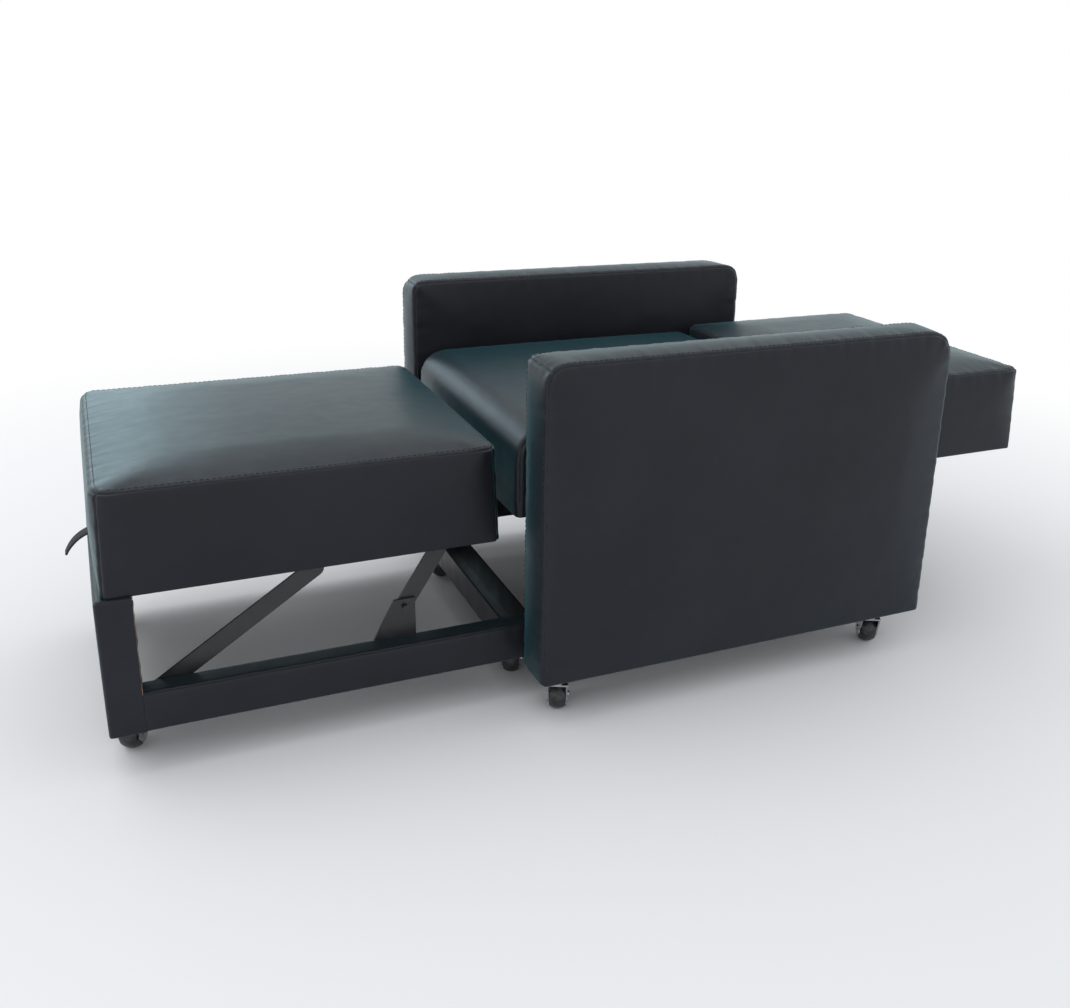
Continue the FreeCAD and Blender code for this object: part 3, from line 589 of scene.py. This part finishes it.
def inflate(built, pinned, sizes):
    """Cloth pressure with the seams and the underside held, each point's move capped."""
    rest = coordinates(built)
    group = built.vertex_groups.new(name="held")
    group.add([int(n) for n in pinned], 1.0, "REPLACE")
    cloth = built.modifiers.new("inflate", "CLOTH")
    settings = cloth.settings
    for key, value in CLOTH.items():
        setattr(settings, key, value)
    settings.vertex_group_mass = "held"
    settings.effector_weights.gravity = 0
    cloth.collision_settings.use_collision = False
    scene = bpy.context.scene
    scene.frame_start = 1
    scene.frame_end = sizes.cloth_frames
    for number in range(1, sizes.cloth_frames + 1):
        scene.frame_set(number)
    graph = bpy.context.evaluated_depsgraph_get()
    shaped = built.evaluated_get(graph)
    grown = np.empty(rest.size)
    shaped.data.vertices.foreach_get("co", grown)
    move = grown.reshape(-1, 3) - rest
    length = np.linalg.norm(move, axis=1, keepdims=True)
    move *= np.minimum(1.0, sizes.cloth_cap / np.maximum(length, 1e-9))
    built.modifiers.clear()
    built.vertex_groups.clear()
    scene.frame_set(1)
    set_coordinates(built, rest + move)


def subdivide(built):
    modifier = built.modifiers.new("smooth", "SUBSURF")
    modifier.levels = 1
    modifier.render_levels = 1
    graph = bpy.context.evaluated_depsgraph_get()
    graph.update()
    mesh = bpy.data.meshes.new_from_object(built.evaluated_get(graph))
    old = built.data
    built.modifiers.clear()
    built.data = mesh
    bpy.data.meshes.remove(old)
    mesh.name = built.name


def sew(built, lines, sizes, seed, gathers=1.0):
    """Sinks a groove along each seam and raises small gathers beside it."""
    points = coordinates(built)
    outward = normals(built)
    rows = []
    for line in lines:
        path = points[line]
        steps = np.linalg.norm(np.diff(path, axis=0), axis=1)
        run = np.concatenate([[0.0], np.cumsum(steps)])
        count = max(2, int(run[-1] / SEAM_SAMPLE))
        even = np.linspace(0, run[-1], count)
        rows.append(np.stack([np.interp(even, run, path[:, n]) for n in range(3)] + [even], 1))
    rows = np.concatenate(rows)
    tree = KDTree(len(rows))
    for number, row in enumerate(rows):
        tree.insert(row[:3], number)
    tree.balance()
    chance = random.Random(seed)
    phases = [chance.uniform(0, 6.28) for _ in range(3)]
    depth = np.zeros(len(points))
    near = np.zeros(len(points))
    for number, point in enumerate(points):
        _, found, away = tree.find(point)
        if away > SEAM_REACH:
            continue
        along = rows[found][3]
        groove = math.exp(-((away / GROOVE_WIDTH) ** 2))
        ripple = sum(math.sin(6.2832 * along / w + p) for w, p in zip(GATHER_WAVES, phases)) / 3
        depth[number] = -sizes.seam_depth * groove
        fall = math.exp(-away / GATHER_FALL) * (1 - math.exp(-away / GATHER_CLEAR))
        depth[number] += sizes.pucker * gathers * ripple * fall
        near[number] = math.exp(-away / RUB_AND_HIGHLIGHT_WIDTH)
    set_coordinates(built, points + outward * depth[:, None])
    # Nearness to a seam, for the leatherette's painted highlight beside it and painted shade in its
    # groove
    attribute = built.data.attributes.new("seam", "FLOAT", "POINT")
    attribute.data.foreach_set("value", near.astype(np.float32))


def even_path(points, pitch):
    steps = np.linalg.norm(np.diff(points, axis=0), axis=1)
    run = np.concatenate([[0.0], np.cumsum(steps)])
    count = max(2, round(run[-1] / pitch))
    even = np.linspace(0, run[-1], count + 1)
    return np.stack([np.interp(even, run, points[:, n]) for n in range(3)], 1)


def stitch_row(name, built, line, toward, sizes, seed):
    """Short thread capsules on the surface beside a seam, on the side that toward(point) gives."""
    points = coordinates(built)
    tree = BVHTree.FromObject(built, bpy.context.evaluated_depsgraph_get())
    path = even_path(points[line], sizes.stitch_pitch)
    chance = random.Random(seed)
    verts = []
    faces = []
    placed = []
    for point in path:
        aim = Vector(point) + Vector(toward(point)) * sizes.stitch_offset
        spot, normal, _, _ = tree.find_nearest(aim)
        placed.append((spot, normal))
    for (start, normal), (end, _) in zip(placed, placed[1:]):
        run = end - start
        if run.length > 3 * sizes.stitch_pitch or run.length < 1e-4:
            continue
        begin = start + run * STITCH_START
        reach = run * (STITCH_SHARE + chance.uniform(-STITCH_SPREAD, STITCH_SPREAD))
        side = run.normalized().cross(normal).normalized()
        base = len(verts)
        for share, width in STITCH_RINGS:
            centre = begin + reach * share + normal * sizes.thread * STITCH_SINK
            for n in range(STITCH_SIDES):
                turn = 2 * math.pi * n / STITCH_SIDES
                radius = sizes.thread * max(width, 0.08)
                offset = side * math.cos(turn) + normal * math.sin(turn)
                verts.append(centre + offset * radius)
        faces += tube_faces(base, len(STITCH_RINGS), STITCH_SIDES)
    row = mesh_object(name, verts, faces)
    dress(row, "sewing_thread")
    return row


def metres_box(node):
    low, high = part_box(node)
    return np.array(low), np.array(high)


def slab(name, low, high, order, edge, radii, amounts, sizes, step=None, flat_below=0.0):
    """A padded slab inside the box low to high. order names its thin axis and its outline's axes.
    With flat_below, the form is drawn that much deeper and then cut flat at its underside."""
    order = list(order)
    back = np.argsort(order)
    deep = low.copy()
    deep[2] -= flat_below
    a, b = deep[order], high[order]
    points, faces, index = lattice(a, b, edge, ROLL_STEPS, step or sizes.grid)
    loops, corners = edge_lines(index)
    points = roll_edges(points, a, b, edge)
    points = round_corners(points, a, b, radii)
    points = points[:, back]
    faces = faces if np.linalg.det(np.eye(3)[order]) > 0 else faces[:, ::-1]
    points = swell(points, low, high, amounts)
    points[:, 2] = np.maximum(points[:, 2], low[2])
    built = mesh_object(name, points, faces)
    return built, loops, corners


def foam_block(node, low, high, order, edge, radii, amounts, sizes, body, flat_below=0.0):
    """The foam just under a cover, with the cover's own form."""
    inset = np.full(3, sizes.cover_thick)
    rounder = {corner: max(np.max(radius) - sizes.cover_thick, 0.0)
               for corner, radius in radii.items()}
    block, _, _ = slab(f"{node}_block", low + inset, high - inset, order, edge, rounder, amounts,
                       sizes, step=2 * sizes.grid, flat_below=flat_below)
    dress(block, "cut_foam")
    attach(block, body)
    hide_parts(node)


def bottom_points(built, low):
    return np.nonzero(coordinates(built)[:, 2] < low[2] + UNDERSIDE_DEPTH)[0]


def open_outline(built, loop, low):
    """The part of an outline that isn't along the underside, in order."""
    points = coordinates(built)[loop]
    above = points[:, 2] > low[2] + OUTLINE_START
    start = int(np.nonzero(~above)[0][0])
    turned = np.roll(loop, -start)
    keep = np.roll(above, -start)
    return turned[keep]


def closed_outline(loop):
    return np.append(loop, loop[0])


def four_corners(radius):
    return {(sb, sc): radius for sb in SIDES for sc in SIDES}


def join(keep, other):
    built = bmesh.new()
    built.from_mesh(keep.data)
    built.from_mesh(other.data)
    built.to_mesh(keep.data)
    built.free()
    bpy.data.objects.remove(other)


def bezier(a, b, c, d, count):
    path = []
    for number in range(count + 1):
        t = number / count
        u = 1 - t
        path.append(a * u ** 3 + b * 3 * u * u * t + c * 3 * u * t * t + d * t ** 3)
    return path


# Operators, one for each piece or group of like pieces

class ChairBedStage(bpy.types.Operator):
    """Makes the floor, the lamps, the world and the camera"""
    bl_idname = "chairbed.stage"
    bl_label = "Stage"

    def execute(self, context):
        FINISHES["pale_floor"] = pale_floor(context.scene.chairbed_colours)
        reach = 9
        floor = mesh_object("floor", [(-reach, -reach, 0), (reach, -reach, 0), (reach, reach, 0),
                                      (-reach, reach, 0)], [(0, 1, 2, 3)], smooth=False)
        dress(floor, "pale_floor")
        self.world(context)
        self.lamps(context)
        self.camera(context)
        context.scene.view_settings.view_transform = "Standard"
        return {"FINISHED"}

    def world(self, context):
        world = bpy.data.worlds.new("studio")
        context.scene.world = world
        world.use_nodes = True
        nodes = Nodes(world.node_tree)
        light = {"Color": (0.96, 0.98, 1.0, 1.0), "Strength": 0.95}
        plain = nodes.node("ShaderNodeBackground", {}, light)
        white = nodes.node("ShaderNodeBackground", {}, {"Color": (1, 1, 1, 1), "Strength": 1.0})
        mixed = nodes.node("ShaderNodeMixShader", {},
                           {0: nodes.sees_background(), 1: plain, 2: white})
        nodes.node("ShaderNodeOutputWorld", {}, {"Surface": mixed})

    def lamps(self, context):
        lamps = [
            ("key", (-0.4, -1.6, 3.0), 20.0, 2.4, (0.97, 0.99, 1.0)),
            ("window", (-2.5, -1.0, 1.25), 9.0, 1.1, (0.60, 0.90, 1.0)),
        ]
        aim_point = Vector((0, 0, 0.3))
        for name, place, power, size, colour in lamps:
            data = bpy.data.lights.new(name, "AREA")
            data.energy = power
            data.size = size
            data.color = colour
            lamp = bpy.data.objects.new(name, data)
            lamp.location = place
            # The window only shows in reflections
            lamp.visible_diffuse = name != "window"
            aim = aim_point - Vector(place)
            lamp.rotation_euler = aim.to_track_quat("-Z", "Y").to_euler()
            context.scene.collection.objects.link(lamp)

    def camera(self, context):
        place = Vector((1.6918, -0.7288, 0.9360))
        azimuth = math.radians(65.52)
        elevation = math.radians(18.70)
        roll = math.radians(1.49)
        focal_pixels = 1113.2
        picture_width = 1070
        centre_offset = (44.07, 57.33)
        data = bpy.data.cameras.new("camera")
        data.sensor_width = 36.0
        data.lens = data.sensor_width * focal_pixels / picture_width
        data.shift_x = -centre_offset[0] / picture_width
        data.shift_y = -centre_offset[1] / picture_width
        camera = bpy.data.objects.new("camera", data)
        back = Vector((math.sin(azimuth) * math.cos(elevation),
                       -math.cos(azimuth) * math.cos(elevation), math.sin(elevation)))
        right = (-back).cross(Vector((0, 0, 1))).normalized()
        up = right.cross(-back)
        right_rolled = right * math.cos(roll) + up * math.sin(roll)
        up_rolled = up * math.cos(roll) - right * math.sin(roll)
        turn = Matrix((right_rolled, up_rolled, back)).transposed()
        camera.matrix_world = Matrix.Translation(place) @ turn.to_4x4()
        context.scene.collection.objects.link(camera)
        context.scene.camera = camera


class ChairBedFinishes(bpy.types.Operator):
    """Makes the finishes and puts them on the construction that stays in view"""
    bl_idname = "chairbed.finishes"
    bl_label = "Finishes"

    def execute(self, context):
        colours = context.scene.chairbed_colours
        made = [leatherette(colours), sewing_thread(colours), painted_steel(colours), zinc_steel(),
                caster_chrome(), caster_tread(), plywood(colours), sawn_timber(), cut_foam(),
                strap_webbing()]
        for material in made:
            FINISHES[material.name] = material
        by_slot = {
            "leatherette": "black_leatherette", "foam": "cut_foam", "timber": "sawn_timber",
            "plywood": "bare_plywood", "black_steel": "black_painted_steel",
            "bright_steel": "zinc_plated_steel", "caster_chrome": "polished_chrome",
            "caster_wheel": "caster_tread", "strap_webbing": "woven_webbing",
        }
        slots = {row["node"]: row["material_slot"] for row in frame["record"]["subparts"]}
        for node, built in frame["nodes"].items():
            dress(built, by_slot[slots[node]])
        dress(frame["nodes"]["brace_bolts"], "black_painted_steel")
        return {"FINISHED"}


class ChairBedArms(bpy.types.Operator):
    """Makes the two padded arms with their sewn covers"""
    bl_idname = "chairbed.arms"
    bl_label = "Arms"

    def execute(self, context):
        sizes = context.scene.chairbed_sizes
        edge = 0.012
        drawn_under = 0.008
        front_radii = (0.015, 0.033)
        rear_radii = (0.030, 0.045)
        foot_radius = 0.012
        end_swell = 0.002
        inner_swell = 0.0015
        for name, sign in zip(("left", "right"), SIDES):
            radii = {(-1, 1): front_radii[::sign], (1, 1): rear_radii[::sign],
                     (-1, -1): foot_radius, (1, -1): foot_radius}
            low, high = metres_box(f"arm_cover_{name}")
            low[2] -= PROUD
            amounts = {(0, sign): sizes.arm_swell, (0, -sign): inner_swell,
                       (1, -1): end_swell, (1, 1): end_swell, (2, 1): end_swell}
            arm, loops, corners = slab(f"arm_upholstery_{name}", low, high, (0, 1, 2), edge,
                                       radii, amounts, sizes, flat_below=drawn_under)
            foam_block(f"arm_foam_{name}", low, high, (0, 1, 2), edge, radii, amounts, sizes,
                       "base", drawn_under)
            held = np.concatenate([loops["low"], loops["high"], corners[(-1, 1)],
                                   bottom_points(arm, low)])
            inflate(arm, held, sizes)
            subdivide(arm)
            lines = [open_outline(arm, loops[side], low) for side in ("low", "high")]
            seams = lines + [corners[(-1, 1)]]
            sew(arm, seams, sizes, SEEDS["arm"] + sign, gathers=1.3)
            dress(arm, "black_leatherette")
            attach(arm, "base")
            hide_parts(f"arm_cover_{name}")
            for side, line in zip(SIDES, lines):
                def inward(point, side=side):
                    return (-side * 0.9, 0.0, 0.0)

                row = stitch_row(f"arm_stitches_{name}_{'inner' if side != sign else 'outer'}",
                                 arm, line, inward, sizes, SEEDS["arm_stitches"] + side)
                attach(row, "base")
        return {"FINISHED"}


class ChairBedCushions(bpy.types.Operator):
    """Makes the foot, middle and head cushions"""
    bl_idname = "chairbed.cushions"
    bl_label = "Cushions"
    crown_room = 0.007
    side_swell = 0.001

    def execute(self, context):
        sizes = context.scene.chairbed_sizes
        self.boxed("front_cushion", "trolley", sizes, (0.010, 0.030))
        self.boxed("head_cushion", "head_section", sizes, (0.010, 0.026))
        self.waterfall("back_cushion", "middle_section", sizes)
        return {"FINISHED"}

    def outline_box(self, name):
        """A cover's box before its crown, drawn down over the edge of its board."""
        low, high = metres_box(f"{name}_cover")
        board_low, _ = metres_box(f"{name}_board")
        low[2] = board_low[2] - PROUD
        high[2] -= self.crown_room
        return low, high

    def fill(self, name, body, low, high, order, edge, radii, amounts, sizes):
        _, board_top = metres_box(f"{name}_board")
        above = low.copy()
        above[2] = board_top[2] - sizes.cover_thick + BOARD_CLEAR
        foam_block(f"{name}_foam", above, high, order, edge, radii, amounts, sizes, body)

    def boxed(self, name, body, sizes, corner):
        """A cushion with a boxing strip. corner is its plan radius at the bottom and at the top."""
        low, high = self.outline_box(name)
        radii = four_corners(corner)
        amounts = {(2, 1): sizes.crown, (0, -1): -self.side_swell, (0, 1): -self.side_swell,
                   (1, -1): self.side_swell, (1, 1): self.side_swell}
        edge = 0.010
        drawn_under = 0.005
        cushion, loops, corners = slab(f"{name}_upholstery", low, high, (2, 0, 1), edge,
                                       radii, amounts, sizes, flat_below=drawn_under)
        self.fill(name, body, low, high, (2, 0, 1), edge, radii, amounts, sizes)
        held = np.concatenate([loops["low"], loops["high"], bottom_points(cushion, low)]
                              + list(corners.values()))
        inflate(cushion, held, sizes)
        subdivide(cushion)
        closed = closed_outline(loops["high"])
        sew(cushion, [closed] + list(corners.values()), sizes, SEEDS[name])
        dress(cushion, "black_leatherette")
        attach(cushion, body)
        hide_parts(f"{name}_cover")
        centre = (low + high) / 2

        def inward(point):
            gap = np.array([centre[0] - point[0], centre[1] - point[1]])
            far = np.abs(gap) / ((high - low)[:2] / 2)
            if far[0] > far[1]:
                return (math.copysign(1, gap[0]), 0.0, 0.0)
            return (0.0, math.copysign(1, gap[1]), 0.0)

        row = stitch_row(f"{name}_stitches", cushion, closed, inward, sizes, SEEDS[name])
        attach(row, body)

    def waterfall(self, name, body, sizes):
        """A cushion whose top rolls down over its front."""
        low, high = self.outline_box(name)
        front_radius = 0.046
        rear_radius = 0.016
        foot_radius = 0.004
        radii = {(-1, 1): front_radius, (1, 1): rear_radius,
                 (-1, -1): foot_radius, (1, -1): foot_radius}
        amounts = {(2, 1): sizes.crown, (0, -1): -self.side_swell, (0, 1): -self.side_swell,
                   (1, -1): self.side_swell}
        edge = 0.012
        drawn_under = 0.008
        cushion, loops, _ = slab(f"{name}_upholstery", low, high, (0, 1, 2), edge,
                                 radii, amounts, sizes, flat_below=drawn_under)
        self.fill(name, body, low, high, (0, 1, 2), edge, radii, amounts, sizes)
        held = np.concatenate([loops["low"], loops["high"], bottom_points(cushion, low)])
        inflate(cushion, held, sizes)
        subdivide(cushion)
        lines = [open_outline(cushion, loops[side], low) for side in ("low", "high")]
        sew(cushion, lines, sizes, SEEDS[name])
        dress(cushion, "black_leatherette")
        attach(cushion, body)
        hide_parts(f"{name}_cover")
        for side, line in zip(SIDES, lines):
            def inward(point, side=side):
                return (-side, 0.0, 0.0)

            label = "left" if side < 0 else "right"
            row = stitch_row(f"{name}_stitches_{label}", cushion, line, inward, sizes,
                             SEEDS[name] + side)
            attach(row, body)


class ChairBedTrolleyCovers(bpy.types.Operator):
    """Makes the padded fascia, the wrapped side rails and the rear panel's cover"""
    bl_idname = "chairbed.trolley_covers"
    bl_label = "Trolley covers"

    def execute(self, context):
        sizes = context.scene.chairbed_sizes
        self.fascia(sizes)
        self.rails(sizes)
        self.rear_panel(sizes)
        return {"FINISHED"}

    def fascia(self, sizes):
        """Made a little deeper than its box, and then cut flat at the back."""
        edge = 0.006
        corner = 0.007
        past_back = 0.0035
        cut_from_back = 0.0028
        face_swell = 0.002
        low, high = metres_box("fascia_cover")
        high[1] += past_back
        low[0] -= PROUD
        high[0] += PROUD
        low[2] -= PROUD
        built, loops, _ = slab("fascia_upholstery", low, high, (1, 0, 2), edge,
                               four_corners(corner), {(1, -1): face_swell}, sizes,
                               flat_below=0.004)
        cut = coordinates(built)
        cut[:, 1] = np.minimum(cut[:, 1], high[1] - cut_from_back)
        set_coordinates(built, cut)
        subdivide(built)
        seam = open_outline(built, loops["high"], low)
        sew(built, [seam], sizes, SEEDS["fascia"], gathers=1.4)
        self.settle(built, "trolley", "fascia_cover")

    def rear_panel(self, sizes):
        edge = 0.004
        corner = 0.006
        face_swell = 0.004
        low, high = metres_box("rear_panel_cover")
        built, loops, _ = slab("rear_panel_upholstery", low, high, (1, 0, 2), edge,
                               four_corners(corner), {(1, 1): face_swell}, sizes)
        subdivide(built)
        sew(built, [closed_outline(loops["high"])], sizes, SEEDS["rear_panel"])
        self.settle(built, "base", "rear_panel_cover")

    def settle(self, built, body, node):
        dress(built, "black_leatherette")
        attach(built, body)
        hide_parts(node)

    def rails(self, sizes):
        low, high = metres_box("rail_covers")
        width = 0.036
        lap = 0.004
        edge = 0.003
        corner = 0.004
        face_swell = 0.0008
        low[1] -= lap
        high[1] += PROUD
        halves = []
        for sign in SIDES:
            near = low.copy()
            far = high.copy()
            if sign > 0:
                near[0] = high[0] - width
            else:
                far[0] = low[0] + width
            rail, loops, corners = slab(f"rail_wrap_{sign}", near, far, (1, 0, 2), edge,
                                        four_corners(corner), {(0, sign): face_swell}, sizes,
                                        step=0.012)
            subdivide(rail)
            seams = [corners[(sign, 1)], closed_outline(loops["low"])]
            sew(rail, seams, sizes, SEEDS["rails"] + sign, gathers=1.5)
            halves.append(rail)
        join(halves[0], halves[1])
        halves[0].name = "rail_wraps"
        self.settle(halves[0], "trolley", "rail_covers")


class ChairBedStrap(bpy.types.Operator):
    """Makes the pull strap as a folded webbing loop"""
    bl_idname = "chairbed.strap"
    bl_label = "Pull strap"

    def execute(self, context):
        low, high = metres_box("pull_strap")
        level = high[2] - 0.0015
        root = Vector((0, high[1], level))
        lip = Vector((0, low[1] + 0.036, level))
        knee = Vector((0, low[1] + 0.014, high[2] - 0.010))
        tip = Vector((0, low[1] + 0.0022, low[2] + 0.002))
        path = bezier(root, lip, knee, tip, count=28)
        taper_start = 0.75
        taper = 0.22
        half = (high[0] - low[0]) / 2
        verts = []
        for number, spot in enumerate(path):
            before = path[max(number - 1, 0)]
            after = path[min(number + 1, len(path) - 1)]
            run = (after - before).normalized()
            normal = Vector((1, 0, 0)).cross(run)
            share = number / (len(path) - 1)
            past = max(0.0, share - taper_start)
            narrow = half * (1.0 - taper * past / (1 - taper_start))
            for across, up in STRAP_SECTION:
                verts.append(spot + Vector((across * narrow, 0, 0)) + normal * up * STRAP_THICK)
        faces = tube_faces(0, len(path), len(STRAP_SECTION))
        strap = mesh_object("pull_strap_webbing", verts, faces)
        dress(strap, "woven_webbing")
        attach(strap, "trolley")
        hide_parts("pull_strap")
        return {"FINISHED"}


class ChairBedWheelCaps(bpy.types.Operator):
    """Makes the domed chrome caps on the casters' wheels"""
    bl_idname = "chairbed.wheel_caps"
    bl_label = "Wheel caps"

    def execute(self, context):
        axles = {joint["child"]: joint for joint in frame["record"]["behaviour"]["joints"]}
        for node in sorted(n for n in frame["nodes"] if "caster_wheel" in n):
            body = node.replace("caster_wheel", "wheel")
            axle = Vector(axles[body]["axis"]).normalized()
            centre = Vector(axles[body]["pos_m"])
            ahead = Vector((0, 0, 1)).cross(axle)
            face_out = max((vertex.co - centre).dot(axle)
                           for vertex in frame["nodes"][node].data.vertices)
            verts = []
            faces = []
            for side in SIDES:
                base = len(verts)
                for radius, out in CAP_SECTION:
                    height = axle * side * (face_out - CAP_SINK + out)
                    for n in range(CAP_SIDES):
                        turn = 2 * math.pi * n / CAP_SIDES
                        spoke = ahead * math.cos(turn) + Vector((0, 0, 1)) * math.sin(turn)
                        verts.append(centre + height + spoke * radius)
                quads = ring_faces(base, len(CAP_SECTION), CAP_SIDES, closed=True)
                faces += quads if side > 0 else [quad[::-1] for quad in quads]
            cap = mesh_object(node.replace("caster_wheel", "wheel_caps"), verts, faces)
            dress(cap, "polished_chrome")
            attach(cap, body)
        return {"FINISHED"}


class ChairBedPanel(bpy.types.Panel):
    """Lists the settings and the steps in the sidebar"""
    bl_idname = "CHAIRBED_PT_build"
    bl_label = "Chair Bed"
    bl_space_type = "VIEW_3D"
    bl_region_type = "UI"
    bl_category = "Chair Bed"

    def draw(self, context):
        layout = self.layout
        for group in (context.scene.chairbed_sizes, context.scene.chairbed_colours):
            for name in group.bl_rna.properties.keys():
                if name not in ("rna_type", "name"):
                    layout.prop(group, name)
        for operator in OPERATORS:
            layout.operator(operator.bl_idname)


OPERATORS = (ChairBedStage, ChairBedFinishes, ChairBedArms, ChairBedCushions,
             ChairBedTrolleyCovers, ChairBedStrap, ChairBedWheelCaps)
CLASSES = (ChairBedSizes, ChairBedColours, *OPERATORS, ChairBedPanel)


def register():
    for each in CLASSES:
        bpy.utils.register_class(each)
    bpy.types.Scene.chairbed_sizes = PointerProperty(type=ChairBedSizes)
    bpy.types.Scene.chairbed_colours = PointerProperty(type=ChairBedColours)


def unregister():
    del bpy.types.Scene.chairbed_sizes
    del bpy.types.Scene.chairbed_colours
    for each in reversed(CLASSES):
        bpy.utils.unregister_class(each)


def main():
    register()
    bpy.ops.chairbed.stage()
    bpy.ops.chairbed.finishes()
    bpy.ops.chairbed.arms()
    bpy.ops.chairbed.cushions()
    bpy.ops.chairbed.trolley_covers()
    bpy.ops.chairbed.strap()
    bpy.ops.chairbed.wheel_caps()


if __name__ == "__main__":
    main()
